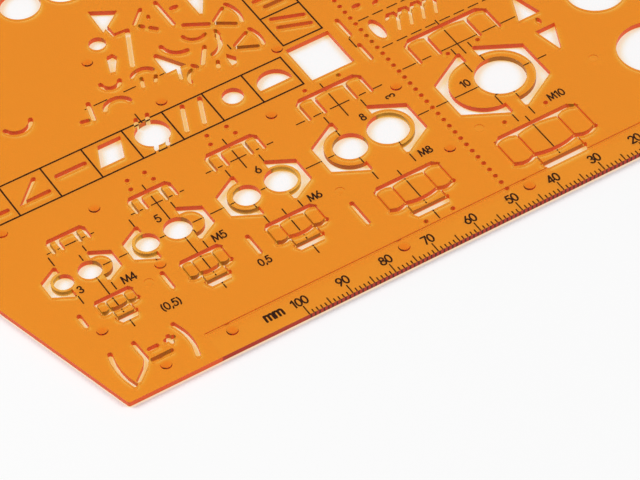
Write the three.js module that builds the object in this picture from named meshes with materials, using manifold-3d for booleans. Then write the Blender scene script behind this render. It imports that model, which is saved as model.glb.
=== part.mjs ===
// Transparent drawing template for metalwork: one moulded sheet with pen slots, and two frames of cells
// printed under it.
import * as THREE from "three";
import { mergeVertices } from "three/addons/utils/BufferGeometryUtils.js";
import Module from "manifold-3d";

// The plan is drawn in u, v, in millimetres: u runs along the scale edge, v away from it, and u = 0, v = 0 is
// the edge at mark 100.
const sheet = {
  height: 120,
  thickness: 1.2,
  leftOfMark: 40.9,
  rightOfMark: 112,
  sideAngle: 75,
  cornerRadius: 0.4,
};

// Moulded dots under the sheet hold it clear of the wet ink.
const pip = { radius: 1.1, height: 0.3 };
// Shallow round marks in the top face, where the ejector pins of the mould stood.
const ejectorMark = { radius: 1.05, depth: 0.15 };
// The underside is stepped back along the scale, so ink does not creep under it.
const inkStep = { from: -19.8, width: 7.1, depth: 0.25 };
const print = { line: 0.32, film: 0.1 };

// A pen slot is this wide, and a round hole this much wider than the circle that it draws.
const penSlot = 1.05;
const penAllowance = 1;
const drillRadius = 0.52;
// Longest step along an arc, and the most that it may turn, in radians.
const arcStep = 1.1;
const mostTurn = 0.8;

const wasm = await Module();
wasm.setup();

const radians = THREE.MathUtils.degToRad;
const point = (u, v) => new THREE.Vector2(u, v);

// Points of a circular arc, from one angle to another in degrees.
function arc(u, v, radius, from, to) {
  const turn = radians(to - from);
  const byLength = Math.ceil((Math.abs(turn) * radius) / arcStep);
  const byTurn = Math.ceil(Math.abs(turn) / mostTurn);
  const steps = Math.max(2, byLength, byTurn);
  return Array.from({ length: steps + 1 }, (_, i) => {
    const angle = radians(from) + (turn * i) / steps;
    return point(u + radius * Math.cos(angle), v + radius * Math.sin(angle));
  });
}

function disc(u, v, radius) {
  return arc(u, v, radius, 0, 360).slice(1);
}

function ellipse(u, v, across, along) {
  const stretch = point(across / along, 1);
  return disc(0, 0, along).map((p) => p.multiply(stretch).add(point(u, v)));
}

// Points of a shallow arc between two places, bulging by rise to the left of the way along it.
function bow(from, to, rise, steps) {
  return Array.from({ length: steps + 1 }, (_, i) => {
    const t = i / steps;
    const lift = 4 * rise * t * (1 - t);
    const along = to.clone().sub(from).normalize();
    return from.clone().lerp(to, t).add(point(-along.y * lift, along.x * lift));
  });
}

// Outline of a slot with round ends that follows a line of points.
function slot(points, width = penSlot) {
  const half = width / 2;
  const sideOf = (sign) =>
    points.map((p, i) => {
      const before = i > 0 ? p.clone().sub(points[i - 1]).normalize() : null;
      const after = i < points.length - 1 ? points[i + 1].clone().sub(p).normalize() : null;
      const along = (before ?? after).clone().add(after ?? before).normalize();
      const mitre = half / Math.max(0.5, along.dot(after ?? before));
      return point(p.x - sign * along.y * mitre, p.y + sign * along.x * mitre);
    });
  const capAt = (end, inner) => {
    const facing = THREE.MathUtils.radToDeg(Math.atan2(end.y - inner.y, end.x - inner.x));
    return [-30, 30].map((turn) => {
      const angle = radians(facing + turn);
      return point(end.x + half * Math.cos(angle), end.y + half * Math.sin(angle));
    });
  };
  const last = points.length - 1;
  return [
    ...sideOf(-1),
    ...capAt(points[last], points[last - 1]),
    ...sideOf(1).reverse(),
    ...capAt(points[0], points[1]),
  ];
}

const straight = (u1, v1, u2, v2, width) => slot([point(u1, v1), point(u2, v2)], width);
const corner = (points) => points.map(([u, v]) => point(u, v));

// A solid with this outline, between two heights.
function prism(outline, low, high) {
  const settings = { depth: high - low, bevelEnabled: false };
  const geometry = new THREE.ExtrudeGeometry(new THREE.Shape(outline), settings);
  geometry.translate(0, 0, low);
  geometry.deleteAttribute("normal");
  geometry.deleteAttribute("uv");
  const merged = mergeVertices(geometry, 1e-4);
  return new wasm.Manifold(
    new wasm.Mesh({
      numProp: 3,
      vertProperties: merged.attributes.position.array,
      triVerts: new Uint32Array(merged.index.array),
    }),
  );
}

const bottom = pip.height;
const top = pip.height + sheet.thickness;
const through = (outline) => prism(outline, bottom - 1, top + 1);
const joined = (solids) => wasm.Manifold.union(solids);

// Metric sizes: across flats, head and nut heights as drawn, and where each group stands along u and v.
// The middles of the two hexagons seen from above are left and right, and hole is the middle of the shank.
const boltRow = 34.8;
const sizes = [
  {
    d: 4, flats: 7, head: 2.8, nut: 3.2,
    centre: -29.9, left: -36.2, right: -28.1, hole: -30.25, nutTop: 26.3, headTop: 46.2,
  },
  {
    d: 5, flats: 8, head: 3.5, nut: 4.7,
    centre: -10, left: -17.05, right: -7.35, hole: -10, nutTop: 26.2, headTop: 47.2,
  },
  {
    d: 6, flats: 10, head: 4, nut: 5.2,
    centre: 10.25, left: 6.11, right: 14.15, hole: 14.15, nutTop: 25.2, headTop: 49,
  },
  {
    d: 8, flats: 13, head: 5.3, nut: 6.8,
    centre: 35.4, left: 30.73, right: 39.85, hole: 39.85, nutTop: 21.4, headTop: 51.9,
  },
  {
    d: 10, flats: 17, head: 6.4, nut: 8.4,
    centre: 65.5, left: 63.3, right: 67.35, hole: 67.35, nutTop: 19.6, headTop: 54.2,
  },
];
const coreShare = 0.8;
const cornerShare = 2 / Math.sqrt(3);

// Half of a hexagon seen from above, cut round a standing disc that shows the chamfer.
function halfHexagon(centre, flats, side) {
  const outer = ((flats + penSlot) * cornerShare) / 2;
  const end = side * penSlot * 0.5;
  const rise = outer - Math.abs(end) / Math.sqrt(3);
  const outline = corner([
    [centre - end, boltRow + rise],
    [centre, boltRow + outer],
    [centre + (side * (flats + penSlot)) / 2, boltRow + outer / 2],
    [centre + (side * (flats + penSlot)) / 2, boltRow - outer / 2],
    [centre, boltRow - outer],
    [centre - end, boltRow - rise],
  ]);
  const chamferDisc = disc(centre, boltRow, flats * 0.475 - 0.65);
  return through(outline).subtract(through(chamferDisc));
}

// The three faces of a hexagon seen from the side, as shares of its width.
const faces = [[-0.5, -0.25, 3], [-0.25, 0.25, 5], [0.25, 0.5, 3]];
const faceBow = 0.04;

// The lower or upper ends of the three faces, each bowed by rise.
function bowedFaces(centre, width, height, rise) {
  return faces.flatMap(([from, to, steps]) => {
    const start = point(centre + from * width, height);
    const end = point(centre + to * width, height);
    return bow(start, end, rise, steps).slice(1);
  });
}

// Top of a nut or bolt head seen from the side: chamfered outside, with three bowed faces inside.
function cappedTop(centre, width, height) {
  const half = penSlot / 2;
  const reach = width / 2 + half;
  const low = height - half - faceBow * width;
  const inside = bowedFaces(centre, width, low, faceBow * width);
  return [
    ...corner([
      [centre + reach, low + 0.25],
      [centre + reach - 0.1 * width, height + half],
      [centre - reach + 0.1 * width, height + half],
      [centre - reach, low + 0.25],
      [centre - width / 2, low],
    ]),
    ...inside,
  ];
}

function nutSideView({ d, flats, nut, centre, nutTop }) {
  const width = flats * cornerShare;
  const drawn = nut + 0.4;
  const base = nutTop - drawn + faceBow * width;
  const bowedBase = [point(centre - width / 2, base), ...bowedFaces(centre, width, base, -faceBow * width)];
  const endTop = nutTop - drawn - penSlot / 2 - 1.5;
  const half = (d + penAllowance) / 2;
  const boltEnd = corner([
    [centre - half, endTop],
    [centre + half, endTop],
    [centre + half, endTop - 0.5],
    [centre + half - 0.8, endTop - 1.9],
    [centre - half + 0.8, endTop - 1.9],
    [centre - half, endTop - 0.5],
  ]);
  return [cappedTop(centre, width, nutTop), slot(bowedBase), boltEnd];
}

function headSideView({ flats, head, centre, headTop }) {
  const width = flats * cornerShare;
  const foot = headTop - head - 0.5;
  const shoulder = headTop - penSlot / 2 - faceBow * width + 0.1;
  const edges = [-0.5, -0.25, 0.25, 0.5].map((share) =>
    straight(centre + share * width, shoulder, centre + share * width, foot, 0.9),
  );
  return [cappedTop(centre, width, headTop), ...edges];
}

function boltAndNutSymbols() {
  return sizes.flatMap((size) => {
    const { d, flats, left, right, hole } = size;
    const shank = disc(hole, boltRow, (d + penAllowance) / 2);
    const outlines = [...nutSideView(size), ...headSideView(size), shank];
    // Where the two hexagons stand apart, the left one has the hole for the core of the thread.
    const core = disc(left, boltRow, (d * coreShare + penAllowance) / 2);
    if (right - left > flats * 0.65) outlines.push(core);
    return [...outlines.map(through), halfHexagon(left, flats, -1), halfHexagon(right, flats, 1)];
  });
}

// Pricked holes that mark the ends of threads, and the row of holes for hatching lines.
function drilledHoles() {
  const pairs = [
    [-9.95, 2.65, 49.5], [-9.95, 2.05, 52.1], [10.25, 2.95, 51.4], [10.25, 2.35, 54],
    [35.45, 4.1, 53.8], [35.4, 3.2, 8.3], [65.55, 5.05, 22.8], [65.5, 3.7, 46.3],
  ];
  const hatchHole = { u: 50.6, first: 6.8, pitch: 2.15, count: 51 };
  const places = pairs.flatMap(([u, half, v]) => [[u - half, v], [u + half, v]]);
  for (let i = 0; i < hatchHole.count; i++) {
    places.push([hatchHole.u, hatchHole.first + i * hatchHole.pitch]);
  }
  const sides = [0, 60, 120, 180, 240, 300].map(radians);
  const rim = sides.map((angle) => point(drillRadius * Math.cos(angle), drillRadius * Math.sin(angle)));
  return places.map(([u, v]) => rim.map((p) => p.clone().add(point(u, v))));
}

// Narrow upright slots between the groups, for washers seen edge on.
function washerSlots() {
  return [
    straight(-38.1, 22, -38.1, 25),
    straight(-18.75, 21.5, -18.75, 25.9),
    straight(0.4, 19.9, 0.4, 24.9),
    straight(22.5, 14.6, 22.5, 20.9),
    straight(47.9, 54.2, 47.9, 59),
    straight(47.9, 62.8, 47.9, 68),
  ];
}

// Symbol for the edge of a workpiece, beside the lower left corner.
function workpieceEdgeSymbol() {
  return [
    slot(bow(point(-37.9, 12.9), point(-37.6, 3.3), -0.75, 4)),
    slot(bow(point(-23.7, 12.9), point(-23.5, 3.3), 0.9, 4)),
    slot(corner([[-32.6, 12.9], [-32.4, 8.2], [-33.6, 6.4], [-36.5, 3.9]])),
    straight(-30.8, 9.8, -29.1, 9.8),
    straight(-31.6, 7.1, -27.3, 7.1, 0.95),
    straight(-27, 10, -25.3, 10),
    straight(-26.1, 9, -26.1, 10.7),
  ];
}

// Frame of square cells for the signs of form and position, with the row's lowest left cell first.
const cell = 9.58;
const signRow = { left: -44.05, base: 56.3, cells: 8 };
const signColumn = { left: 34.9, base: 68.45, cells: 5 };
const rowCell = (i) => ({ u: signRow.left + (i + 0.5) * cell, v: signRow.base + cell / 2 });
const columnCell = (i) => ({ u: signColumn.left + cell / 2, v: signColumn.base + (i + 0.5) * cell });

function toleranceSigns() {
  const places = [0, 1, 2, 3, 4, 5, 6, 7].map(rowCell);
  const [square, angle, level, flat, round, parallel, small, profile] = places;
  const leaning = [[-4.18, -2.89], [1.42, -2.89], [3.62, 3.01], [-1.78, 3.01]];
  return [
    slot(corner([[square.u - 3, square.v - 2.6], [square.u + 3, square.v - 2.6]])),
    straight(square.u, square.v - 2.6, square.u, square.v + 2.8),
    slot(
      corner([
        [angle.u + 3, angle.v - 2.6],
        [angle.u - 3, angle.v - 2.6],
        [angle.u + 2, angle.v + 2.2],
      ]),
    ),
    straight(level.u - 3.2, level.v + 0.2, level.u + 3.2, level.v + 0.2, 1.15),
    leaning.map(([along, up]) => point(flat.u + along, flat.v + up)),
    disc(round.u - 0.02, round.v - 0.1, 3.8),
    ...[-1.35, 1.35].flatMap((side) => [
      straight(round.u + side - 0.4, round.v + 3.6, round.u + side + 0.35, round.v + 5.3, 0.95),
      straight(round.u + side - 0.3, round.v - 4.6, round.u + side + 0.3, round.v - 3.4, 0.95),
    ]),
    ...[-2.05, 2.15].map((side) =>
      straight(parallel.u + side - 1.25, parallel.v - 3.4, parallel.u + side + 1.35, parallel.v + 3.2),
    ),
    disc(small.u, small.v - 0.1, 2.33),
    arc(profile.u - 0.25, profile.v - 1.6, 3.85, -9, 189),
  ];
}

function columnSigns() {
  const [crossing, symmetry, , rings, total] = [0, 1, 2, 3, 4].map(columnCell);
  return [
    straight(crossing.u - 3.1, crossing.v + 2.95, crossing.u + 3.3, crossing.v + 0.4),
    straight(crossing.u - 3.1, crossing.v - 0.1, crossing.u + 3.3, crossing.v - 2.65),
    straight(symmetry.u - 2.2, symmetry.v + 2.6, symmetry.u + 2.2, symmetry.v + 2.6),
    straight(symmetry.u - 3.4, symmetry.v, symmetry.u + 3.4, symmetry.v),
    straight(symmetry.u - 2.2, symmetry.v - 2.6, symmetry.u + 2.2, symmetry.v - 2.6),
    disc(rings.u, rings.v, 2),
    straight(total.u - 2.4, total.v - 2.4, total.u + 2.4, total.v + 2.4),
  ];
}

// Square opening at the foot of the sign column.
function squareOpening() {
  const [left, right] = [signColumn.left - 0.65, signColumn.left + 9.7];
  const [low, high] = [signColumn.base - 12.9, signColumn.base - 2];
  return corner([[left, low], [right, low], [right, high], [left, high]]);
}

// The signs above the row of cells are placed from its upper side, so here v counts from there.
const rowTop = signRow.base + cell;

// Weld signs, on both sides of a printed line.
function weldSigns() {
  return [
    slot(arc(-3, 5.42, 3, 160, 15)),
    slot(arc(-0.9, 13.42, 2.1, 175, 335)),
    slot(arc(5.8, 10.02, 2.9, 140, 30)),
    slot(arc(17.1, 16.32, 4, 180, 272)),
    slot(arc(20.4, 12.32, 4.2, -82, 4)),
    slot(corner([[-9, 5.52], [-7.9, 10.12]])),
    straight(-11.5, 6.12, -10.2, 5.82),
    corner([[10.1, 8.72], [14.9, 8.72], [11.5, 14.52], [10.9, 15.12], [10.3, 14.72]]),
    straight(20.7, 11.12, 17.9, 7.02),
    straight(12, 5.72, 13.2, 9.32, 0.9),
    slot(arc(21.3, 16.92, 2.9, 190, 300), 0.85),
    slot(arc(16.3, 3.72, 3.2, 185, 115), 0.85),
    straight(16.4, 6.72, 15.8, 7.72, 0.9),
    straight(4.2, 8.12, 5, 10.32, 0.9),
    straight(7.1, 8.12, 7.9, 9.32, 0.9),
    straight(20.1, 4.22, 20.8, 5.72, 0.9),
    corner([[22.7, 2.92], [23.9, 3.12], [24.7, 4.72], [23.4, 6.72], [22.9, 5.52]]),
  ];
}

// Fans of two lines and an arc, for countersunk heads and the angle of a joint.
function fanSigns() {
  const fan = (u, v, reach, spread) => {
    const across = reach * Math.cos(radians(spread));
    const up = reach * Math.sin(radians(spread));
    return [
      straight(u + 1, v + 0.45, u + across, v + up, 0.95),
      straight(u + 1, v - 0.45, u + across, v - up, 0.95),
      slot(arc(u - 0.3, v, reach + 1.6, -0.75 * spread, 0.95 * spread), 0.95),
    ];
  };
  return [
    ...fan(25.3, 7.42, 5.4, 27),
    ...fan(25.4, 16.32, 5.2, 33),
    straight(20.4, 19.32, 24.9, 16.62, 1.1),
    straight(25.1, 12.72, 25.1, 14.02, 0.9),
  ];
}

// Lettered joints and levels above the weld signs.
function jointSigns() {
  return [
    disc(2.45, 24.77, 1.9),
    corner([[0.5, 15.52], [1.5, 15.22], [4, 19.02], [3.5, 20.32], [2.3, 20.22], [1.9, 19.72]]),
    straight(9.7, 24.72, 5.4, 14.82),
    corner([[5.2, 27.02], [10.9, 31.22], [5.5, 34.52]]),
    slot(corner([[6.5, 27.92], [6.6, 25.12], [9.4, 24.92]]), 0.8),
    straight(15.1, 28.72, 11.9, 25.52, 0.95),
    straight(12.6, 24.32, 13, 23.72),
    straight(14.2, 22.62, 15.1, 21.62),
    straight(15.3, 25.42, 15.5, 26.02, 0.8),
    straight(18.8, 20.92, 18.8, 28.72),
    straight(20.7, 25.22, 21.9, 25.22),
    corner([[24.9, 20.42], [25.5, 20.12], [28.3, 24.72], [29.2, 27.12], [24.9, 27.12]]),
  ];
}

// Signs for springs and levels on the right, with the two arrow heads for surface marks.
function rightHandSigns() {
  return [
    ellipse(53.65, 61, 1.35, 3.2),
    ...[0, 3.05, 6.1, 9.15].map((on) => {
      const hook = [[56.7, 62.3], [57.6, 63.4], [58.9, 63.2], [59.2, 61.9], [57.5, 58.3]];
      return slot(corner(hook.map(([u, v]) => [u + on, v])), 0.8);
    }),
    corner([[79.4, 46.1], [84.7, 46.1], [82.8, 53.4], [82.3, 53.4]]),
    corner([[80.5, 41.5], [85.3, 41.5], [82.4, 34.6], [81.9, 34.6]]),
    straight(82.9, 43.4, 82.9, 44.4, 0.9),
    straight(53, 69.5, 54.1, 69.5),
    straight(57.1, 68, 57.9, 68.4, 0.9),
  ];
}

// Circles and long slots on the far side and the right, as such templates carry them.
function circlesAndLevels() {
  const farRow = { v: sheet.height - 9.5, first: -58, pitch: 10.5 };
  const diameters = [3, 4, 5, 6, 7, 8, 9];
  const rightOf = sheet.rightOfMark - 14;
  const radiusOf = (d) => (d + penAllowance) / 2;
  const tray = { left: 62, across: 12, low: sheet.height - 15, up: 9 };
  return [
    ...diameters.map((d, i) => disc(farRow.first + i * farRow.pitch, farRow.v, radiusOf(d))),
    disc(rightOf, 24, radiusOf(14)),
    disc(rightOf, 45, radiusOf(12)),
    disc(rightOf, sheet.height - 13, radiusOf(16)),
    ...[62, 70, 78].map((v) => straight(rightOf - 8, v, rightOf + 8, v)),
    ...[78, 87, 96].map((v) => straight(62, v, 80, v)),
    corner([
      [tray.left, tray.low],
      [tray.left + tray.across, tray.low],
      [tray.left + tray.across, tray.low + tray.up],
      [tray.left, tray.low + tray.up],
    ]),
    ...[-45, -34, -23].map((u) => slot(arc(u, rowTop + 14, 3.2, 200, 340))),
    ...[-45, -34, -23].map((u) => slot(corner([[u - 3, 96], [u, 90.5], [u + 3, 96]]))),
  ];
}

// Outline of the sheet: the left side leans out by the side angle, the right side is square.
function sheetOutline() {
  const lean = sheet.height / Math.tan(radians(sheet.sideAngle));
  const radius = sheet.cornerRadius;
  const corners = corner([
    [-sheet.leftOfMark, 0],
    [sheet.rightOfMark, 0],
    [sheet.rightOfMark, sheet.height],
    [-sheet.leftOfMark - lean, sheet.height],
  ]);
  return corners.flatMap((place, i) => {
    const before = corners[(i + 3) % 4].clone().sub(place).setLength(radius);
    const after = corners[(i + 1) % 4].clone().sub(place).setLength(radius);
    const middle = before.clone().add(after).multiplyScalar(0.29);
    return [place.clone().add(before), place.clone().add(middle), place.clone().add(after)];
  });
}

const farSide = sheet.height - 4;
const pipPlaces = [
  [-14.6, 5.4], [25.2, 5.4], [55.1, 5.4], [94, 5.4], [-35.9, 19.7], [-29.8, 5],
  [-17.6, 28.7], [-21.1, 49.6], [22.3, 52.2], [33.3, 68.3], [5.4, 68.5], [-1.8, 87.4],
  [-40, 54], [-52, 68], [-60, 100], [-20, 103], [47.6, 23.4], [48, 44.7],
  [47, farSide], [86, 70], [86, 92], [107.5, 34.5], [107.5, farSide], [-66, farSide],
];
const ejectorPlaces = [[22.35, 25.2], [-22.15, 25.2], [55.3, 24.3], [86, 28], [-33, 103]];

function templateSheet() {
  const outline = sheetOutline();
  const plate = prism(outline, bottom, top);
  const pipTop = bottom + inkStep.depth + 0.2;
  const pips = pipPlaces.map(([u, v]) => prism(disc(u, v, pip.radius), 0, pipTop));
  const step = corner([
    [inkStep.from, -1],
    [sheet.rightOfMark + 1, -1],
    [sheet.rightOfMark + 1, inkStep.width],
    [inkStep.from, inkStep.width],
  ]);
  const raised = [...weldSigns(), ...fanSigns(), ...jointSigns()];
  const outlines = [
    ...drilledHoles(),
    ...washerSlots(),
    ...workpieceEdgeSymbol(),
    ...toleranceSigns(),
    ...columnSigns(),
    squareOpening(),
    ...raised.map((outline) => outline.map((p) => p.add(point(0, rowTop)))),
    ...rightHandSigns(),
    ...circlesAndLevels(),
  ];
  const marks = ejectorPlaces.map(([u, v]) => {
    return prism(disc(u, v, ejectorMark.radius), top - ejectorMark.depth, top + 1);
  });
  const cuts = joined([
    ...outlines.map(through),
    ...boltAndNutSymbols(),
    prism(step, bottom - 0.01, bottom + inkStep.depth),
    ...marks,
  ]);
  return joined([plate.subtract(cuts), ...pips]);
}

// Printed frame of square cells, as a thin film of ink under the sheet.
function printedFrame(left, base, across, up) {
  const half = print.line / 2;
  const box = (u1, v1, u2, v2) => corner([[u1, v1], [u2, v1], [u2, v2], [u1, v2]]);
  const outer = box(left - half, base - half, left + across * cell + half, base + up * cell + half);
  const cells = [];
  for (let i = 0; i < across; i++) {
    for (let j = 0; j < up; j++) {
      const [u, v] = [left + i * cell, base + j * cell];
      cells.push(through(box(u + half, v + half, u + cell - half, v + cell - half)));
    }
  }
  return prism(outer, bottom - print.film, bottom).subtract(joined(cells));
}

function named(name, solid, colour, roughness) {
  const mesh = solid.getMesh();
  const positions = new THREE.BufferAttribute(new Float32Array(mesh.vertProperties), 3);
  const geometry = new THREE.BufferGeometry();
  geometry.setAttribute("position", positions);
  geometry.setIndex(new THREE.BufferAttribute(new Uint32Array(mesh.triVerts), 1));
  geometry.computeVertexNormals();
  const material = new THREE.MeshStandardMaterial({ color: colour, roughness, metalness: 0 });
  const made = new THREE.Mesh(geometry, material);
  made.name = name;
  return made;
}

// The part's own origin is under the middle of the sheet.
const leftMost = -sheet.leftOfMark - sheet.height / Math.tan(radians(sheet.sideAngle));
const part = new THREE.Group();
const rowPrint = printedFrame(signRow.left, signRow.base, signRow.cells, 1);
const columnPrint = printedFrame(signColumn.left, signColumn.base, 1, signColumn.cells);
part.add(named("template_sheet", templateSheet(), 0xec9432, 0.12));
part.add(named("sign_row_print", rowPrint, 0x1a0d08, 0.6));
part.add(named("sign_column_print", columnPrint, 0x1a0d08, 0.6));
part.position.set(-(leftMost + sheet.rightOfMark) / 2, -sheet.height / 2, 0);

export default part;
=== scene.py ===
import math
import bpy
import bmesh
from mathutils import Matrix, Vector
from mathutils.bvhtree import BVHTree


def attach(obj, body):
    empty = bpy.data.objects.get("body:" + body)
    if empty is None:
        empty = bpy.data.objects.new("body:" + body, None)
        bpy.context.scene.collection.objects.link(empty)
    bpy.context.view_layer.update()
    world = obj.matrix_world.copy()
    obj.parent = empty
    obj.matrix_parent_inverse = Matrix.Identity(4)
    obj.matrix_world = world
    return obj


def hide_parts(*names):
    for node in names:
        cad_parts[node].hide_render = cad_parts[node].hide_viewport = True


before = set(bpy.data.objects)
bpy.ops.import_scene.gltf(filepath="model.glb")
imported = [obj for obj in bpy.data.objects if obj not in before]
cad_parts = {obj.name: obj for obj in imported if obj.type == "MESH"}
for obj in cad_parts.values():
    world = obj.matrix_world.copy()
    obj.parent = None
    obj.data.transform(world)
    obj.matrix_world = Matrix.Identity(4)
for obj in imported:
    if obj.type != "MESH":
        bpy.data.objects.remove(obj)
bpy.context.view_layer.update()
mm = 0.001

# The plan of the template: u runs along the scale edge from mark 100, v away from it, both in millimetres
plan = {
    "rightEnd": 112,
    "corner": -40.9,
    "width": 120,
    "slant": 75,
    "top": 1.5,
    "bottom": 0.3,
    "stepDepth": 0.05,
    "stepFrom": -19.8,
    "stepWidth": 7.1,
}
lean = plan["width"] / math.tan(math.radians(plan["slant"]))
plan["middleU"] = (plan["rightEnd"] + plan["corner"] - lean) / 2
plan["middleV"] = plan["width"] / 2


def place(u, v, z=0.0):
    return Vector((u - plan["middleU"], v - plan["middleV"], z)) * mm


# The scale along the front edge, for the finish of that edge and for the printing
edgeScale = {
    "count": 101, "pitch": 1.0, "first": 0.23, "inset": 0.03,
    "short": 1.5, "middle": 2.45, "long": 3.1, "width": 0.27,
    "figureLow": 2.75, "figureHeight": 2.05, "unitFrom": -8.1, "unitHeight": 2.08,
}


# Shader helpers
class Wire:  # an output socket that can be added, multiplied and so on
    def __init__(self, maker, socket):
        self.maker = maker
        self.socket = socket

    def __add__(self, other):
        return self.maker.sum("ADD", self, other)

    def __sub__(self, other):
        return self.maker.sum("SUBTRACT", self, other)

    def __rsub__(self, other):
        return self.maker.sum("SUBTRACT", other, self)

    def __mul__(self, other):
        return self.maker.sum("MULTIPLY", self, other)

    def __truediv__(self, other):
        return self.maker.sum("DIVIDE", self, other)

    __radd__ = __add__
    __rmul__ = __mul__


class Maker:  # adds nodes to one tree, of a material or of Geometry Nodes
    def __init__(self, tree):
        self.tree = tree

    def add(self, kind, settings=None, inputs=None, output=0):
        made = self.tree.nodes.new(kind)
        for name, value in (settings or {}).items():
            if name == "stops":
                ramp = made.color_ramp
                while len(ramp.elements) < len(value):
                    ramp.elements.new(0.5)
                for stop, (position, colour) in zip(ramp.elements, value):
                    stop.position = position
                    stop.color = colour
            else:
                setattr(made, name, value)
        for name, value in (inputs or {}).items():
            if isinstance(value, Wire):
                self.tree.links.new(value.socket, made.inputs[name])
            else:
                made.inputs[name].default_value = value
        return Wire(self, made.outputs[output]) if made.outputs else None

    def sum(self, operation, first, second):
        return self.add("ShaderNodeMath", {"operation": operation}, {0: first, 1: second})

    def noise(self, scale, detail=2.0, roughness=0.5, stretch=(1, 1, 1)):
        where = self.add("ShaderNodeTexCoord", output=3)
        turned = self.add("ShaderNodeMapping", None, {"Vector": where, "Scale": stretch})
        return self.add("ShaderNodeTexNoise", None,
                        {"Vector": turned, "Scale": scale, "Detail": detail, "Roughness": roughness})

    def lightPath(self, kind):
        return self.add("ShaderNodeLightPath", output=kind)

    def ramp(self, value, stops):
        return self.add("ShaderNodeValToRGB", {"stops": stops}, {"Fac": value})

    def between(self, value, fromHere, toHere):  # 0 up to one value and 1 past the other
        return self.add("ShaderNodeMapRange", {"interpolation_type": "SMOOTHSTEP"},
                        {0: value, 1: fromHere, 2: toHere})

    def mixed(self, share, first, second):
        return self.add("ShaderNodeMix", {"data_type": "RGBA"}, {0: share, 6: first, 7: second}, output=2)

    def bump(self, height, strength, distance):
        return self.add("ShaderNodeBump", None,
                        {"Height": height, "Strength": strength, "Distance": distance})


def newMaterial(name):
    material = bpy.data.materials.new(name)
    material.use_nodes = True
    material.node_tree.nodes.clear()
    return material, Maker(material.node_tree)


# Tinted acrylic: clear faces that refract, and a volume that takes out blue, then green, then a little red
acrylic = {
    "indexOfRefraction": 1.49,
    "absorbed": (0.008, 0.4, 1.6),  # per millimetre of red, green and blue
    "faceRoughness": 0.02,
    "smudgeRoughness": 0.05,
    "smudgeScale": 120,
    "scratchScale": 900,
    "scratchStrength": 0.012,
    "wallRoughness": 0.34,
    "innerWallRoughness": 0.12,
    "throughFace": (0.97, 0.97, 0.97, 1),  # what a face and a wall let through on the way to a lamp
    "throughWall": (0.97, 0.8, 0.28, 1),
}
# Walls: a painted glow that stands in for the light seen through the clear wall, set by the millimetres of
# sheet behind it, brown on thin webs and red elsewhere
wall = {
    "tones": [(0.6, (0.52, 0.25, 0.02)), (1.3, (0.38, 0.165, 0.01)), (2.4, (0.4, 0.12, 0.012)),
              (3.6, (0.74, 0.125, 0.02)), (6.0, (0.74, 0.1, 0.026))],
    "mostBehind": 8.0,
    "streakScale": 700,
    "streakShare": 0.1,
    "streakStrength": 0.1,
    "paintedWebLight": (0.9, 0.46, 0.06, 1),  # painted light, low on a thin web where the light comes through
    "paintedWebLightShare": 0.8,
    "webThickness": (2.2, 1.2),
    "footHeight": (0.9, 0.45),
    # painted shade on the front edge where the underside is stepped back
    "paintedFrontShade": (0.36, 0.028, 0.022, 1),
    "paintedFrontShadeShare": 0.85,
    "tickTone": (0.035, 0.01, 0.008, 1),
    "tickShare": 0.8,
    "tickBlur": 0.1,
    # the walls glow with their painted colour, though they are no lamp
    "emission": 0.2,
    "specular": 0.15,
}


def acrylicVolume(maker):
    most = max(acrylic["absorbed"]) * 1.02
    left = [1 - share / most for share in acrylic["absorbed"]]
    return maker.add("ShaderNodeVolumeAbsorption", None, {"Color": (*left, 1), "Density": most / mm})


def clearSurface(maker, roughness, isWall):
    smudge = maker.noise(acrylic["smudgeScale"], 3, 0.6)
    fine = acrylic["scratchScale"]
    scratch = maker.noise(fine, 2, 0.6, (0.06, 1, 1)) + maker.noise(fine, 2, 0.6, (1, 0.05, 1))
    glass = maker.add("ShaderNodeBsdfPrincipled", None, {
        "Base Color": (1, 1, 1, 1),
        "Roughness": roughness + acrylic["smudgeRoughness"] * smudge,
        "IOR": acrylic["indexOfRefraction"],
        "Transmission Weight": 1.0,
        "Normal": maker.bump(scratch, acrylic["scratchStrength"], 0.02 * mm),
    })
    # light that comes out of a wall has gone a long way through the tint
    throughFace = maker.add("ShaderNodeBsdfTransparent", None, {"Color": acrylic["throughFace"]})
    throughWall = maker.add("ShaderNodeBsdfTransparent", None, {"Color": acrylic["throughWall"]})
    passing = maker.add("ShaderNodeMixShader", None, {0: isWall, 1: throughFace, 2: throughWall})
    shadowRay = maker.lightPath("Is Shadow Ray")
    return maker.add("ShaderNodeMixShader", None, {0: shadowRay, 1: glass, 2: passing})


def planWires(maker):
    where = maker.add("ShaderNodeTexCoord", output=3)
    u = maker.add("ShaderNodeSeparateXYZ", None, {0: where}, output=0) / mm + plan["middleU"]
    v = maker.add("ShaderNodeSeparateXYZ", None, {0: where}, output=1) / mm + plan["middleV"]
    return u, v


def onFrontEdge(maker, v):
    return maker.between(v, 0.1, 0.05)


def frontStrip(maker):
    # 1 on the front edge where the underside is stepped back, which is painted darker as the shade in the gap
    # under it
    u, v = planWires(maker)
    onStep = maker.between(u, plan["stepFrom"] - 0.3, plan["stepFrom"])
    return onStep * onFrontEdge(maker, v) * wall["paintedFrontShadeShare"]


def ticksSeen(maker):
    # the lines of the scale show through the front edge as dark bars
    u, v = planWires(maker)
    first, half = edgeScale["first"], edgeScale["width"] / 2
    last = first + (edgeScale["count"] - 1) * edgeScale["pitch"]
    nearest = maker.sum("ABSOLUTE", maker.sum("FRACT", u - first + 0.5, 0) - 0.5, 0)
    onScale = maker.between(u, first - 0.4, first - 0.3) * maker.between(u, last + 0.17, last + 0.07)
    bars = maker.between(nearest, half + wall["tickBlur"], half)
    return bars * onScale * onFrontEdge(maker, v) * wall["tickShare"]


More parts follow.
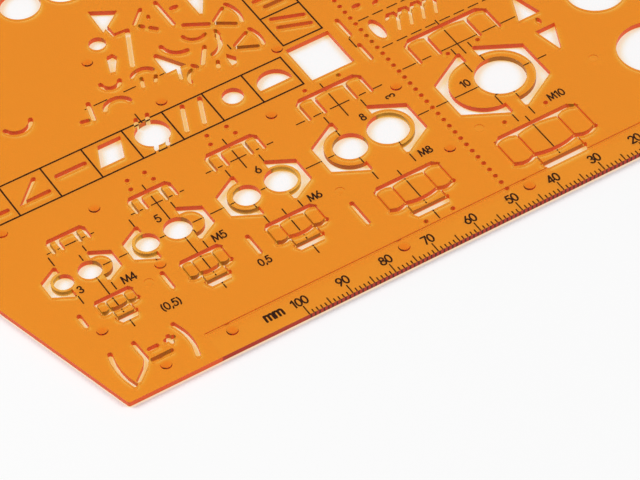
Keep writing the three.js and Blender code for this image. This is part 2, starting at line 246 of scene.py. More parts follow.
def wallGlow(maker):
    # Seen from the air a wall is opaque and shows a painted glow, in its base colour and its emission: the
    # colour of the light that is left after the way through the sheet behind it
    streak = maker.noise(wall["streakScale"], 2, 0.5, (1, 1, 0.1))
    behind = maker.add("ShaderNodeAttribute", {"attribute_name": "behind"}, output="Fac")
    most = wall["mostBehind"]
    stops = [(depth / most, (*tone, 1)) for depth, tone in wall["tones"]]
    tone = maker.ramp(behind / most + wall["streakShare"] * (streak - 0.5), stops)
    where = maker.add("ShaderNodeTexCoord", output=3)
    height = maker.add("ShaderNodeSeparateXYZ", None, {0: where}, output=2)
    footFrom, footTo = wall["footHeight"]
    foot = maker.between(height, footFrom * mm, footTo * mm)
    thin = maker.between(behind, *wall["webThickness"])
    # painted light: gold low on thin webs, where light would come through
    tone = maker.mixed(wall["paintedWebLightShare"] * thin * foot, tone, wall["paintedWebLight"])
    # painted shade on the front edge over the stepped-back underside
    tone = maker.mixed(frontStrip(maker), tone, wall["paintedFrontShade"])
    tone = maker.mixed(ticksSeen(maker), tone, wall["tickTone"])
    return maker.add("ShaderNodeBsdfPrincipled", None, {
        "Base Color": tone,
        "Roughness": acrylic["wallRoughness"],
        "Normal": maker.bump(streak, wall["streakStrength"], 0.03 * mm),
        # painted glow: the wall's painted colour is also given out as light
        "Emission Color": tone,
        "Emission Strength": wall["emission"],
        "Specular IOR Level": wall["specular"],
    })


def tintedAcrylic():
    # One finish for faces and walls, so that a ray leaves the same volume by whichever side it goes
    material, maker = newMaterial("tintedAcrylic")
    isWall = maker.add("ShaderNodeAttribute", {"attribute_name": "isWall"}, output="Fac")
    inside = maker.add("ShaderNodeNewGeometry", output=6)
    lighting = maker.lightPath("Is Shadow Ray") + maker.lightPath("Is Diffuse Ray")
    lighting = maker.sum("MINIMUM", lighting, 1.0)
    roughness = acrylic["faceRoughness"] + acrylic["innerWallRoughness"] * isWall
    clear = clearSurface(maker, roughness, isWall)
    isEdge = maker.add("ShaderNodeAttribute", {"attribute_name": "isEdge"}, output="Fac")
    glowing = (1 - inside) * maker.sum("MAXIMUM", isWall * (1 - lighting), isEdge)
    surface = maker.add("ShaderNodeMixShader", None, {0: glowing, 1: clear, 2: wallGlow(maker)})
    maker.add("ShaderNodeOutputMaterial", None, {"Surface": surface, "Volume": acrylicVolume(maker)})
    return material


ink = {
    "grainScale": 2500,
    "tones": [(0.35, (0.016, 0.003, 0.002, 1)), (0.75, (0.045, 0.011, 0.007, 1))],
    "roughness": 0.5,
    "grainRoughness": 0.2,
    "grainStrength": 0.2,
}


def printingInk():
    material, maker = newMaterial("printingInk")
    grain = maker.noise(ink["grainScale"], 2, 0.6)
    film = maker.add("ShaderNodeBsdfPrincipled", None, {
        "Base Color": maker.ramp(grain, ink["tones"]),
        "Roughness": ink["roughness"] + ink["grainRoughness"] * grain,
        "Normal": maker.bump(grain, ink["grainStrength"], 0.01 * mm),
    })
    # the paper below is lit as if the thin print were not there
    passing = maker.add("ShaderNodeBsdfTransparent")
    shadowRay = maker.lightPath("Is Shadow Ray")
    surface = maker.add("ShaderNodeMixShader", None, {0: shadowRay, 1: film, 2: passing})
    maker.add("ShaderNodeOutputMaterial", None, {"Surface": surface})
    return material


print("materials")
sheetFinish, inkFinish = tintedAcrylic(), printingInk()


# The rims of the openings, read from the solid's top face and rounded between its facets
def cross(a, b):
    return a.x * b.y - a.y * b.x


def turnOf(a, b):
    return math.atan2(cross(a, b), a.dot(b))


def topRims(node):
    mesh = bmesh.new()
    mesh.from_mesh(node.data)
    bmesh.ops.remove_doubles(mesh, verts=mesh.verts, dist=1e-6)
    top = plan["top"] * mm
    upward = [f for f in mesh.faces if f.normal.z > 0.9]
    onTop = [f for f in upward if all(abs(v.co.z - top) < 1e-6 for v in f.verts)]
    known = set(onTop)  # asked for members alone, because a set has another order in each run
    following, depth = {}, {}
    for face in onTop:
        for loop in face.loops:
            beside = [f for f in loop.edge.link_faces if f not in known]
            if beside:
                following[loop.vert] = loop.link_loop_next.vert
                depth[loop.vert] = min(v.co.z for v in beside[0].verts)
    rims = []
    while following:
        start, step = following.popitem()
        ring, low = [start], depth[start]
        while step is not start:
            ring.append(step)
            low = min(low, depth[step])
            step = following.pop(step)
        rims.append(([Vector(v.co.xy) for v in ring], low))
    mesh.free()
    return rims


# How facets turn back into curves: lengths in millimetres and turns in degrees
facets = {
    "small": 0.65, "smallTurn": 62,
    "medium": 1.2, "mediumTurn": 47, "mixedTurn": 36,
    "large": 2.6, "largeTurn": 16,
    "straight": 1.25, "uneven": 2.2,  # this long, and this many times its neighbour, it is a straight side
    "fineTurn": 9,
}


def mostTurn(short, long):
    # How far two facets may turn and still be a curve and not a corner
    if long < facets["small"]:
        return facets["smallTurn"]
    if long < facets["medium"]:
        return facets["mediumTurn"]
    if short < facets["medium"]:
        return facets["mixedTurn"]
    return facets["largeTurn"] if long < facets["large"] else 0


def rounded(ring):
    # The ring with a cubic curve through each run of facets that stands for a curve
    count = len(ring)
    sides = [ring[(i + 1) % count] - ring[i] for i in range(count)]
    tangents = []
    for i in range(count):
        before, after = sides[i - 1], sides[i]
        short, long = sorted((before.length / mm, after.length / mm))
        turn = abs(math.degrees(turnOf(before, after)))
        if turn > mostTurn(short, long):
            tangents.append(None)
        elif long > facets["straight"] and long > facets["uneven"] * short:
            tangents.append((before if before.length > after.length else after).normalized())
        else:
            both = before.normalized() * after.length + after.normalized() * before.length
            tangents.append(both.normalized())
    fine = []
    for i in range(count):
        start, side = ring[i], sides[i]
        leave, arrive = tangents[i], tangents[(i + 1) % count]
        first = turnOf(leave, side) if leave else None
        last = turnOf(side, arrive) if arrive else None
        isLarge = side.length > facets["large"] * mm
        if first is None and last is None or isLarge and None in (first, last):
            first = last = 0.0
        first = last if first is None else first
        last = first if last is None else last
        reach = side.length * 2 / 3 / (1 + math.cos((first + last) / 2))
        along = side.normalized()
        near = start + (Matrix.Rotation(-first, 2) @ along) * reach
        end = start + side
        far = end - (Matrix.Rotation(last, 2) @ along) * reach
        steps = max(1, math.ceil(math.degrees(abs(first) + abs(last)) / facets["fineTurn"]))
        for k in range(steps):
            t = k / steps
            left = 1 - t
            fine.append(start * left ** 3 + near * 3 * t * left ** 2 + far * 3 * t * t * left + end * t ** 3)
    return fine


def plate(name, rings, low, high, rim):
    # A plate with these outlines between two heights, its edges rounded by rim, all in metres
    curve = bpy.data.curves.new(name, "CURVE")
    curve.dimensions = "2D"
    curve.fill_mode = "BOTH"
    curve.extrude = (high - low) / 2 - rim
    curve.bevel_depth = rim
    curve.bevel_resolution = 0
    curve.offset = -rim
    for ring in rings:
        spline = curve.splines.new("POLY")
        spline.points.add(len(ring) - 1)
        for point, at in zip(spline.points, ring):
            point.co = (at.x, at.y, 0, 1)
        spline.use_cyclic_u = True
    holder = bpy.data.objects.new(name, curve)
    bpy.context.scene.collection.objects.link(holder)
    bpy.context.view_layer.update()
    mesh = bpy.data.meshes.new_from_object(holder.evaluated_get(bpy.context.evaluated_depsgraph_get()))
    bpy.data.objects.remove(holder)
    mesh.transform(Matrix.Translation((0, 0, (low + high) / 2)))
    work = bmesh.new()
    work.from_mesh(mesh)
    bmesh.ops.remove_doubles(work, verts=work.verts, dist=1e-7)
    bmesh.ops.recalc_face_normals(work, faces=work.faces)
    work.to_mesh(mesh)
    openEdges = sum(1 for e in work.edges if len(e.link_faces) != 2)
    work.free()
    print(name, "faces", len(mesh.polygons), "open edges", openEdges)
    piece = bpy.data.objects.new(name, mesh)
    bpy.context.scene.collection.objects.link(piece)
    return piece


def bodyOfTurn(name, profile, places, sides=24):
    # Small round bodies with this profile of radius and height, one at each place
    work = bmesh.new()
    for centre in places:
        rings = []
        for radius, z in profile:
            turns = [2 * math.pi * k / sides for k in range(sides)]
            spots = [centre + Vector((math.cos(turn), math.sin(turn), 0)) * radius for turn in turns]
            rings.append([work.verts.new((spot.x, spot.y, z)) for spot in spots])
        for lower, upper in zip(rings, rings[1:]):
            for k in range(sides):
                work.faces.new((lower[k], lower[(k + 1) % sides], upper[(k + 1) % sides], upper[k]))
        work.faces.new(reversed(rings[0]))
        work.faces.new(rings[-1])
    mesh = bpy.data.meshes.new(name)
    work.to_mesh(mesh)
    work.free()
    piece = bpy.data.objects.new(name, mesh)
    bpy.context.scene.collection.objects.link(piece)
    return piece


def applied(piece, operation, tool):
    modifier = piece.modifiers.new("cut", "BOOLEAN")
    modifier.operation = operation
    modifier.object = tool
    modifier.solver = "MANIFOLD"
    bpy.context.view_layer.update()
    mesh = bpy.data.meshes.new_from_object(piece.evaluated_get(bpy.context.evaluated_depsgraph_get()))
    piece.modifiers.clear()
    piece.data = mesh
    bpy.data.objects.remove(tool)
    print(operation, "faces", len(mesh.polygons))


sheet = {
    "rim": 0.008,
    "shallowest": 0.6,  # a rim less deep than this is only a mark in the top face
    "pipPlaces": [
        (-14.6, 5.4), (25.2, 5.4), (55.1, 5.4), (94, 5.4), (-35.9, 19.7), (-29.8, 5), (-17.6, 28.7),
        (-21.1, 49.6), (22.3, 52.2), (33.3, 68.3), (5.4, 68.5), (-1.8, 87.4), (-40, 54), (-52, 68),
        (-60, 100), (-20, 103), (47.6, 23.4), (48, 44.7), (47, 116), (86, 70), (86, 92), (107.5, 34.5),
        (107.5, 116), (-66, 116),
    ],
    "pipProfile": [(0.3, 0.0), (0.62, 0.04), (0.9, 0.12), (1.12, 0.22), (1.24, 0.32), (1.24, 0.7)],
    "gatePlaces": [(22.35, 25.2), (-22.15, 25.2)],
    "gateProfile": [(0.8, 1.2), (0.78, 1.36), (0.6, 1.45), (0.25, 1.49)],
    "penSlot": 1.05,
    "faceBow": 0.04,
    "boltLength": 1.5,  # what the bolt stands out under its nut
    "scoreWidth": 0.35,
    "scoreDepth": 0.8,
    "scoreOverlap": 0.3,
    "endOverlap": 0.2,
    "scaleLine": 0.2,
    "scaleLineEnd": 6,
    "sharpAngle": 28,
    "rayStart": 0.02,
    "outerRayStart": 0.05,
    "rayTurns": (-0.7, 0, 0.7),
}
# the side view of each nut: size, width across flats, height, middle along u and top along v
nutViews = [(4, 7, 3.6, -29.9, 26.3), (5, 8, 5.1, -10, 26.2), (6, 10, 5.6, 10.25, 25.2),
            (8, 13, 7.2, 35.4, 21.4), (10, 17, 8.8, 65.5, 19.6)]


def boxRing(lowU, lowV, highU, highV):
    corners = [(lowU, lowV), (highU, lowV), (highU, highV), (lowU, highV)]
    return [Vector(place(u, v).xy) for u, v in corners]


def scoredLines():
    # Thin grooves that carry the outline of a nut on between its two slots, and down to the bolt's end
    rings = []
    half = sheet["scoreWidth"] / 2
    for size, flats, height, middle, top in nutViews:
        across = flats * 2 / math.sqrt(3)
        base = top - height + sheet["faceBow"] * across
        boltEnd = top - height - sheet["penSlot"] / 2 - sheet["boltLength"] - sheet["endOverlap"]
        over = sheet["scoreOverlap"]
        lines = [(middle + share * across, base, top - over) for share in (-0.5, -0.25, 0.25, 0.5)]
        lines += [(middle + side * size / 2, boltEnd, base - over) for side in (-1, 1)]
        for u, low, high in lines:
            rings.append(boxRing(u - half, low, u + half, high))
    # and the line along the back of the scale
    line = sheet["scaleLine"] / 2
    back, end = plan["stepWidth"], plan["rightEnd"] - sheet["scaleLineEnd"]
    rings.append(boxRing(plan["stepFrom"] - line, back - line, end, back + line))
    return rings


def measureBehind(mesh):
    # For each corner of a wall, how much sheet lies behind it, kept as an attribute for the wall's finish
    work = bmesh.new()
    work.from_mesh(mesh)
    tree = BVHTree.FromBMesh(work)
    most = wall["mostBehind"]
    sums, counts = [0.0] * len(work.verts), [0] * len(work.verts)
    for face in work.faces:
        if abs(face.normal.z) > 0.5:
            continue
        inward = Vector((-face.normal.x, -face.normal.y, 0)).normalized()
        start = face.calc_center_median() + inward * sheet["rayStart"] * mm
        depths = []
        for turn in sheet["rayTurns"]:
            ray = inward.copy()
            ray.rotate(Matrix.Rotation(turn, 3, "Z"))
            distance = tree.ray_cast(start, ray, most * mm)[3]
            depths.append(most if distance is None else distance / mm)
        for vert in face.verts:
            sums[vert.index] += sum(depths) / len(depths)
            counts[vert.index] += 1
    work.free()
    attribute = mesh.attributes.new("behind", "FLOAT", "POINT")
    attribute.data.foreach_set("value", [total / max(1, count) for total, count in zip(sums, counts)])


def markFaces(mesh):
    # For the finish: which faces are walls, and which of these are the outer edge
    tree = BVHTree.FromPolygons([v.co for v in mesh.vertices], [face.vertices for face in mesh.polygons])
    marks = {"isWall": [], "isEdge": []}
    for face in mesh.polygons:
        normal, centre = face.normal, face.center
        upright = abs(normal.z) < 0.5 and centre.z > plan["bottom"] * mm
        across = Vector((normal.x, normal.y, 0))
        start = centre + across * sheet["outerRayStart"] * mm
        outermost = upright and tree.ray_cast(start, across)[0] is None
        marks["isWall"].append(float(upright))
        marks["isEdge"].append(float(outermost))
    for name, values in marks.items():
        mesh.attributes.new(name, "FLOAT", "FACE").data.foreach_set("value", values)


def templateSheet():
    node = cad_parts["template_sheet"]
    top, bottom = plan["top"] * mm, plan["bottom"] * mm
    rims = topRims(node)
    halfWay = top - sheet["shallowest"] * mm
    deep = [rounded(ring) for ring, low in rims if low < halfWay]
    shallow = [(rounded(ring), low) for ring, low in rims if low >= halfWay]
    print("rims", len(deep), "marks", len(shallow))
    piece = plate("templateSheet", deep, bottom, top, sheet["rim"] * mm)
    # the underside is stepped back along the scale
    stepRing = boxRing(plan["stepFrom"], -1, plan["rightEnd"] + 1, plan["stepWidth"])
    tool = plate("step", [stepRing], bottom - mm, bottom + plan["stepDepth"] * mm, 0)
    applied(piece, "DIFFERENCE", tool)
    tool = plate("marks", [ring for ring, low in shallow], shallow[0][1], top + mm, 0)
    applied(piece, "DIFFERENCE", tool)
    tool = plate("scores", scoredLines(), top - sheet["scoreDepth"] * mm, top + mm, 0)
    applied(piece, "DIFFERENCE", tool)
    profile = [(radius * mm, z * mm) for radius, z in sheet["gateProfile"]]
    applied(piece, "UNION", bodyOfTurn("gates", profile, [place(u, v) for u, v in sheet["gatePlaces"]]))
    profile = [(radius * mm, z * mm) for radius, z in sheet["pipProfile"]]
    pips = bodyOfTurn("pips", profile, [place(u, v) for u, v in sheet["pipPlaces"]])
    applied(piece, "UNION", pips)
    mesh = piece.data
    mesh.materials.clear()
    mesh.materials.append(sheetFinish)
    mesh.set_sharp_from_angle(angle=math.radians(sheet["sharpAngle"]))
    for face in mesh.polygons:
        face.material_index = 0
        face.use_smooth = abs(face.normal.z) < 0.999
    markFaces(mesh)
    measureBehind(mesh)
    return piece


print("sheet")
sheetPiece = templateSheet()
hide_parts("template_sheet")
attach(sheetPiece, "root")

# Printing, in ink on the underside
printing = {
    "line": 0.28,
    "letter": 0.34,
    "figure": 0.38,
    "boldLetter": 0.52,
    "film": 0.025,
    "gap": 0.005,
    "sample": 0.08,  # how closely a stroke is tested for openings
    "sameLevel": 0.02,
    "cornerTurn": 0.5,
    "asSeen": (0.29, 0.85),  # from above a print looks this far off, so the lists below are moved by it
    "asSeenInStep": (0.23, 0.74),
    "uprights": [
        (-30.2, [(39.1, 37.5), (31.5, 22.2), (21.2, 20.9), (19.8, 19.5), (18.3, 16.4)]),
        (-10.1, [(49, 46.8), (45.2, 36.5), (31, 25.2), (24.5, 20.5), (19.4, 19.1), (18.2, 17.9),
                 (16.6, 15.1)]),
        (10.05, [(51, 48), (47.1, 41.3), (27.2, 25), (23.4, 20.2), (19, 18.7), (17.8, 17.5), (15.1, 12.8)]),
        (35.05, [(53.5, 51), (50, 42.3), (23.2, 20.5), (19.7, 13.6), (12.6, 12.3), (11.4, 11.1),
                 (9.8, 7.3)]),
        (65.05, [(56, 53.3), (52.3, 44), (21.5, 18.8), (18.2, 10.3), (9.2, 8.9)]),
        (-35.7, [(42, 39.5), (29.5, 27.3)]), (-28.4, [(41, 39.5), (29.5, 27)]),
        (-17.1, [(42, 39), (29.4, 27.2)]), (-7.65, [(41.5, 39.5), (32.2, 30), (29.3, 26)]),
        (6.05, [(43, 40.5), (38.5, 38.2), (31.2, 29.2), (27.6, 24.8)]),
        (13.95, [(42.9, 40), (29.6, 28.8), (27.6, 24.8)]),
        (30.6, [(44.6, 42), (40, 37.3), (30.2, 27.6), (25.8, 23.5)]),
        (39.6, [(44.7, 41.9), (29.3, 29), (28, 27.5), (25.8, 23.5)]),
        (63.1, [(46.7, 44.5), (41.8, 38.6), (29.9, 26.5), (23.4, 21.2)]),
        (67.1, [(46.5, 45), (42, 39.2), (28.1, 26.7), (23.4, 21.2)]),
        (-1.3, [(67.6, 64)]), (25, [(80, 78.5), (74.5, 73)]), (47.1, [(61.5, 58)]),
    ],
    "levels": [
        (34.15, [(-27.4, -25.5), (-23.7, -21.8), (-14.3, -13.2), (-6.7, -4.3), (-2.6, 0.4), (2.2, 3),
                 (9.3, 10.5), (17.9, 18.4), (20, 23.5), (25.3, 26.8), (45, 45.5), (47, 49.5), (51.5, 54),
                 (55.7, 61.4), (72.8, 74.9), (76.5, 78.5)]),
        (43, [(-35.4, -34.4), (-32.9, -32.4), (-31.2, -28.6), (-27.3, -26.8), (-25.4, -24.8), (-16, -15.5),
              (-13.9, -13.4), (-11.3, -8.8), (-7.2, -6.5), (-4.6, -3.8)]),
        (44.5, [(2.4, 3.5), (5.3, 6.2), (8.2, 11.8), (14.3, 14.8), (16.9, 18.2)]),
        (46, [(24.8, 26.8), (29, 31), (33, 37.5), (40, 41.5), (43, 45.5)]),
        (47.4, [(51.6, 54.7), (56.5, 58.5), (60.3, 69.5), (71.3, 74.5), (76, 79.5)]),
        (74.6, [(-9.2, -8.9), (-7.1, -4.1), (0, 2.8), (8.7, 9.7)]),
    ],
    "longDashes": {"levels": (55.3, 65), "from": 51.6, "to": 106, "pitch": 3.55, "dash": 2.4},
    # words, then where they start, the height of a figure, and a turn in degrees
    "labels": [
        ("M4", -26.5, 27.3, 1.95, 0), ("M5", -5.8, 27, 1.95, 0), ("M6", 15.9, 25.7, 1.85, 0),
        ("M8", 41.2, 23.8, 1.85, 0), ("M10", 71.8, 22.35, 1.85, 0), ("5", -12.7, 38.1, 1.95, 0),
        ("6", 11, 38.5, 1.95, 0), ("8", 36.7, 39.3, 1.85, 0), ("10", 59, 35.6, 1.85, 0),
        ("3", 46.1, 41.6, 1.9, 90), ("3", -35, 30, 1.8, 0), ("(0,5)", -23.6, 16.5, 1.9, 0),
        ("0,5", -1.5, 16.1, 1.8, 0),
    ],
}


def arcOf(u, v, acrossHalf, upHalf, start, end, steps=16):
    turns = [math.radians(start + (end - start) * k / steps) for k in range(steps + 1)]
    return [(u + acrossHalf * math.cos(turn), v + upHalf * math.sin(turn)) for turn in turns]


# the strokes of each sign on a height of 1, after the room it takes
signs = {
    "0": (0.66, [arcOf(0.31, 0.5, 0.26, 0.5, 90, 450, 24)]),
    "1": (0.46, [[(0.06, 0.8), (0.28, 1), (0.28, 0)]]),
    "2": (0.62, [arcOf(0.29, 0.73, 0.24, 0.27, 165, -40) + [(0.05, 0), (0.55, 0)]]),
    "3": (0.62, [arcOf(0.28, 0.76, 0.21, 0.24, 155, -90), arcOf(0.28, 0.26, 0.25, 0.26, 90, -155)]),
    "4": (0.68, [[(0.46, 0), (0.46, 1), (0.04, 0.25), (0.62, 0.25)]]),
    "5": (0.62, [[(0.52, 1), (0.17, 1), (0.11, 0.56)] + arcOf(0.28, 0.33, 0.26, 0.33, 125, -150)]),
    "6": (0.66, [[(0.42, 1), (0.1, 0.45)], arcOf(0.31, 0.3, 0.26, 0.3, 150, 510, 24)]),
    "7": (0.6, [[(0.05, 1), (0.54, 1), (0.2, 0)]]),
    "8": (0.66, [arcOf(0.31, 0.77, 0.2, 0.23, 90, 450, 20), arcOf(0.31, 0.27, 0.26, 0.27, 90, 450, 24)]),
    "9": (0.66, [[(0.2, 0), (0.52, 0.55)], arcOf(0.31, 0.7, 0.26, 0.3, -30, 330, 24)]),
    "M": (0.98, [[(0.06, 0), (0.16, 1), (0.47, 0.1), (0.78, 1), (0.88, 0)]]),
    "m": (1.02, [[(0.08, 0), (0.08, 0.76)], arcOf(0.29, 0.5, 0.21, 0.24, 180, 0, 10) + [(0.5, 0)],
                 arcOf(0.71, 0.5, 0.21, 0.24, 180, 0, 10) + [(0.92, 0)]]),
    ",": (0.3, [[(0.16, 0.06), (0.08, -0.16)]]),
    "(": (0.36, [arcOf(0.5, 0.45, 0.4, 0.7, 130, 230, 8)]),
    ")": (0.4, [arcOf(-0.14, 0.45, 0.4, 0.7, 50, -50, 8)]),
}


def written(words, u, v, height, turn=0.0):
    strokes, along = [], 0.0
    c, s = math.cos(math.radians(turn)), math.sin(math.radians(turn))
    for letter in words:
        room, lines = signs[letter]
        for line in lines:
            spots = [((along + x) * height, y * height) for x, y in line]
            strokes.append([(u + x * c - y * s, v + x * s + y * c) for x, y in spots])
        along += room
    return strokes, along * height


def moved(strokes, by):
    return [[(u + by[0], v + by[1]) for u, v in line] for line in strokes]


class InkBed:  # the underside of the sheet, where strokes end at each opening
    def __init__(self, piece):
        work = bmesh.new()
        work.from_mesh(piece.data)
        self.tree = BVHTree.FromBMesh(work)
        work.free()
        self.levels = [plan["bottom"] * mm, (plan["bottom"] + plan["stepDepth"]) * mm]

    def levelAt(self, at):
        hit = self.tree.ray_cast(Vector((at.x, at.y, -mm)), Vector((0, 0, 1)))[0]
        most = printing["sameLevel"] * mm
        near = [level for level in self.levels if hit and abs(hit.z - level) < most]
        return near[0] if near else None

    def levelRound(self, at, reach):
        steps = ((0, 0), (1, 0), (-1, 0), (0, 1), (0, -1))
        found = {self.levelAt(at + Vector(step) * reach) for step in steps}
        return found.pop() if len(found) == 1 else None

    def runs(self, line, reach):
        spots = [Vector(place(u, v).xy) for u, v in line]
        made, run, level = [], [], None
        for a, b in zip(spots, spots[1:]):
            steps = max(1, math.ceil((b - a).length / (printing["sample"] * mm)))
            growing = False
            for k in range(steps + 1):
                at = a.lerp(b, k / steps)
                here = self.levelRound(at, reach)
                if run and here != level:
                    made.append((run, level))
                    run = []
                if here is None:
                    continue
                level = here
                if growing and len(run) > 1:
                    run[-1] = at
                elif not run or (at - run[-1]).length > 1e-7:
                    growing = bool(run)
                    run.append(at)
        if run:
            made.append((run, level))
        return [(run, level) for run, level in made if len(run) > 1]


def nodeTool(name, inputs):
    tree = bpy.data.node_groups.new(name, "GeometryNodeTree")
    for label, kind in inputs.items():
        tree.interface.new_socket(label, in_out="INPUT", socket_type="NodeSocket" + kind)
    tree.interface.new_socket("Geometry", in_out="OUTPUT", socket_type="NodeSocketGeometry")
    maker = Maker(tree)
    given = tree.nodes.new("NodeGroupInput")
    return tree, maker, {label: Wire(maker, given.outputs[label]) for label in inputs}


def inkedTool(maker, shapes):
    # Joins the shapes, makes instances real and gives them ink
    join = maker.tree.nodes.new("GeometryNodeJoinGeometry")
    for shape in shapes:
        maker.tree.links.new(shape.socket, join.inputs[0])
    real = maker.add("GeometryNodeRealizeInstances", None, {"Geometry": Wire(maker, join.outputs[0])})
    inked = maker.add("GeometryNodeSetMaterial", None, {"Geometry": real, "Material": inkFinish})
    maker.add("NodeGroupOutput", None, {"Geometry": inked})


def strokeTool():
    tree, maker, given = nodeTool("inkStrokes", {"Geometry": "Geometry", "Width": "Float", "Film": "Float"})
    path = maker.add("GeometryNodeMeshToCurve", None, {"Mesh": given["Geometry"]})
    level = maker.add("GeometryNodeSetCurveNormal", {"mode": "Z_UP"}, {"Curve": path})
    nib = maker.add("GeometryNodeCurvePrimitiveQuadrilateral", None,
                    {"Width": given["Width"], "Height": given["Film"]})
    ribbon = maker.add("GeometryNodeCurveToMesh", None,
                       {"Curve": level, "Profile Curve": nib, "Fill Caps": True})
    neighbours = maker.add("GeometryNodeInputMeshVertexNeighbors")
    isEnd = maker.add("FunctionNodeCompare", {"data_type": "INT", "operation": "EQUAL"},
                      {2: neighbours, 3: 1})
    dot = maker.add("GeometryNodeMeshCylinder", None,
                    {"Vertices": 12, "Radius": given["Width"] * 0.5, "Depth": given["Film"]})
    dots = maker.add("GeometryNodeInstanceOnPoints", None,
                     {"Points": given["Geometry"], "Selection": isEnd, "Instance": dot})
    inkedTool(maker, [ribbon, dots])
    return tree


def scaleTool():
    tree, maker, given = nodeTool("edgeScale", {
        "Count": "Int", "Pitch": "Float", "Short": "Float", "Middle": "Float", "Long": "Float",
        "Width": "Float", "Film": "Float", "Start": "Vector"})
    step = maker.add("ShaderNodeCombineXYZ", None, {"X": given["Pitch"]})
    line = maker.add("GeometryNodeMeshLine", None, {"Count": given["Count"], "Start Location": given["Start"],
                                                     "Offset": step})
    index = maker.add("GeometryNodeInputIndex")
    tenth = maker.sum("LESS_THAN", maker.sum("MODULO", index, 10), 0.5)
    fifth = maker.sum("LESS_THAN", maker.sum("MODULO", index, 5), 0.5)
    longer, longest = given["Middle"] - given["Short"], given["Long"] - given["Middle"]
    length = given["Short"] + longer * fifth + longest * tenth
    halfUp = maker.add("ShaderNodeCombineXYZ", None, {"Y": length * 0.5})
    spots = maker.add("GeometryNodeSetPosition", None, {"Geometry": line, "Offset": halfUp})
    size = maker.add("ShaderNodeCombineXYZ", None, {"X": given["Width"], "Y": length, "Z": given["Film"]})
    tick = maker.add("GeometryNodeMeshCube", None, {"Size": (1, 1, 1)})
    ticks = maker.add("GeometryNodeInstanceOnPoints", None,
                      {"Points": spots, "Instance": tick, "Scale": size})
    inkedTool(maker, [ticks])
    return tree


def madeByTool(name, tree, values, mesh=None):
    holder = bpy.data.objects.new(name, mesh or bpy.data.meshes.new(name))
    bpy.context.scene.collection.objects.link(holder)
    modifier = holder.modifiers.new("tool", "NODES")
    modifier.node_group = tree
    for item in tree.interface.items_tree:
        if item.in_out == "INPUT" and item.name in values:
            modifier[item.identifier] = values[item.name]
    bpy.context.view_layer.update()
    made = bpy.data.meshes.new_from_object(holder.evaluated_get(bpy.context.evaluated_depsgraph_get()))
    bpy.data.objects.remove(holder)
    piece = bpy.data.objects.new(name, made)
    bpy.context.scene.collection.objects.link(piece)
    print(name, "faces", len(made.polygons))
    return piece


def inked(name, strokes, width):
    # Ribbons of ink under the sheet, broken where a stroke turns sharply so that each corner is round
    spots, edges = [], []
    middle = (printing["gap"] + printing["film"] / 2) * mm
    for line in strokes:
        for run, level in inkBed.runs(line, width * mm / 2):
            for i, at in enumerate(run):
                spots.append((at.x, at.y, level - middle))
                if i:
                    edges.append((len(spots) - 2, len(spots) - 1))
                isInner = 0 < i < len(run) - 1
                if isInner and abs(turnOf(at - run[i - 1], run[i + 1] - at)) > printing["cornerTurn"]:
                    spots.append(spots[-1])
    mesh = bpy.data.meshes.new(name)
    mesh.from_pydata(spots, edges, [])
    return madeByTool(name, inkStrokes, {"Width": width * mm, "Film": printing["film"] * mm}, mesh)


def lineStrokes():
    strokes = []
    for u, dashes in printing["uprights"]:
        strokes += [[(u, high), (u, low)] for high, low in dashes]
    for v, dashes in printing["levels"]:
        strokes += [[(low, v), (high, v)] for low, high in dashes]
    row = printing["longDashes"]
    for v in row["levels"]:
        for k in range(int((row["to"] - row["from"]) / row["pitch"])):
            start = row["from"] + k * row["pitch"]
            strokes.append([(start, v), (start + row["dash"], v)])
    return moved(strokes, printing["asSeen"])


def labelStrokes():
    strokes = []
    for words, u, v, height, turn in printing["labels"]:
        strokes += written(words, u, v, height, turn)[0]
    return moved(strokes, printing["asSeen"])


def figureStrokes():
    # The numbers of the scale, from 100 at the left to 0, each in the middle over its long line
    strokes = []
    height = edgeScale["figureHeight"]
    for value in range(100, -1, -10):
        room = written(str(value), 0, 0, height)[1]
        strokes += written(str(value), 100 - value - room / 2, edgeScale["figureLow"], height)[0]
    return moved(strokes, printing["asSeenInStep"])


print("printing")
inkBed = InkBed(sheetPiece)
inkStrokes, edgeTicks = strokeTool(), scaleTool()
unit = written("mm", edgeScale["unitFrom"], edgeScale["figureLow"], edgeScale["unitHeight"])[0]
unitStrokes = moved(unit, printing["asSeenInStep"])
tickLevel = plan["bottom"] + plan["stepDepth"] - printing["gap"] - printing["film"] / 2
tickStart = place(edgeScale["first"], edgeScale["inset"], tickLevel)
printPieces = [
    inked("centreLines", lineStrokes(), printing["line"]),
    inked("sizeLabels", labelStrokes(), printing["letter"]),
    inked("scaleFigures", figureStrokes(), printing["figure"]),
    inked("scaleUnit", unitStrokes, printing["boldLetter"]),
    madeByTool("scaleTicks", edgeTicks, {
        "Count": edgeScale["count"], "Pitch": edgeScale["pitch"] * mm, "Short": edgeScale["short"] * mm,
        "Middle": edgeScale["middle"] * mm, "Long": edgeScale["long"] * mm, "Width": edgeScale["width"] * mm,
        "Film": printing["film"] * mm, "Start": tickStart}),
]
for printPiece in printPieces:
    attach(printPiece, "root")

for nodeName in ("sign_row_print", "sign_column_print"):
    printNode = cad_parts[nodeName]
    for materialSlot in printNode.material_slots:
        materialSlot.material = inkFinish

# Floor, camera and light
stage = {
    "floor": 3.0,
    "floorColour": (0.94, 0.94, 0.94, 1),
    "floorRoughness": 0.9,
    "floorLevel": -0.02,
    "floorLift": 0.06,
    "world": 0.22,
    # place, size, power, and whether it shows in gloss
    "lamps": {
        "left": ((-0.85, 0.6, 1.15), 0.9, 14, False),
        "right": ((0.7, -0.8, 1.15), 0.9, 11.5, False),
        "sparkle": ((-0.9, 0.25, 0.7), 0.2, 0.3, True),
    },
    "cameraPlace": (-0.249356, -0.495956, 0.549710),
    "cameraTurn": (0.75026765, 0.05242341, -0.54756584),
    "sensor": 36,
    "lens": 211.458,
    "clipped": (0.01, 20),
}


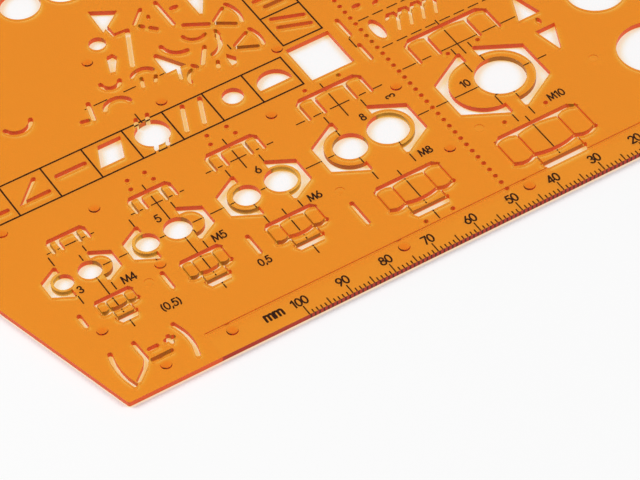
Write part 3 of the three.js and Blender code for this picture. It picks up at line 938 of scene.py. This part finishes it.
def paperFloor():
    mesh = bpy.data.meshes.new("floor")
    half, level = stage["floor"] / 2, stage["floorLevel"] * mm
    corners = [(-half, -half, level), (half, -half, level), (half, half, level), (-half, half, level)]
    mesh.from_pydata(corners, [], [(0, 1, 2, 3)])
    floor = bpy.data.objects.new("floor", mesh)
    bpy.context.scene.collection.objects.link(floor)
    material, maker = newMaterial("paperFloor")
    surface = maker.add("ShaderNodeBsdfPrincipled", None, {
        "Base Color": stage["floorColour"],
        "Roughness": stage["floorRoughness"],
        "Specular IOR Level": 0.0,
    })
    # seen by the eye, in gloss or through the sheet the paper is a little whiter, and it keeps its shadows
    seen = maker.lightPath("Is Camera Ray") + maker.lightPath("Is Glossy Ray")
    seen = maker.sum("MINIMUM", seen + maker.lightPath("Is Transmission Ray"), 1.0)
    lift = maker.add("ShaderNodeEmission", None, {"Strength": stage["floorLift"] * seen})
    both = maker.add("ShaderNodeAddShader", None, {0: surface, 1: lift})
    maker.add("ShaderNodeOutputMaterial", None, {"Surface": both})
    mesh.materials.append(material)


def softbox(name, location, size, power, gloss):
    light = bpy.data.lights.new(name, "AREA")
    light.shape = "DISK"
    light.size = size
    light.energy = power
    lamp = bpy.data.objects.new(name, light)
    bpy.context.scene.collection.objects.link(lamp)
    lamp.location = location
    lamp.rotation_euler = (-Vector(location)).to_track_quat("-Z", "Y").to_euler()
    # the shadow rays already carry its light through the sheet, so refracted rays pass it by
    lamp.visible_transmission = False
    lamp.visible_glossy = gloss


def studioWorld(strength):
    world = bpy.data.worlds.new("studio")
    bpy.context.scene.world = world
    world.use_nodes = True
    world.node_tree.nodes.clear()
    maker = Maker(world.node_tree)
    background = maker.add("ShaderNodeBackground", None, {"Color": (1, 1, 1, 1), "Strength": strength})
    maker.add("ShaderNodeOutputWorld", None, {"Surface": background})
    world.cycles.sampling_method = "NONE"  # its light then reaches the paper once, through the sheet itself


def photoCamera():
    camera = bpy.data.cameras.new("photoCamera")
    camera.sensor_width = stage["sensor"]
    camera.lens = stage["lens"]
    camera.clip_start, camera.clip_end = stage["clipped"]
    holder = bpy.data.objects.new("photoCamera", camera)
    bpy.context.scene.collection.objects.link(holder)
    holder.location = stage["cameraPlace"]
    holder.rotation_euler = stage["cameraTurn"]
    bpy.context.scene.camera = holder


print("stage")
paperFloor()
studioWorld(stage["world"])
for lampName, lampSettings in stage["lamps"].items():
    softbox(lampName, *lampSettings)
photoCamera()
bpy.context.scene.view_settings.view_transform = "Standard"
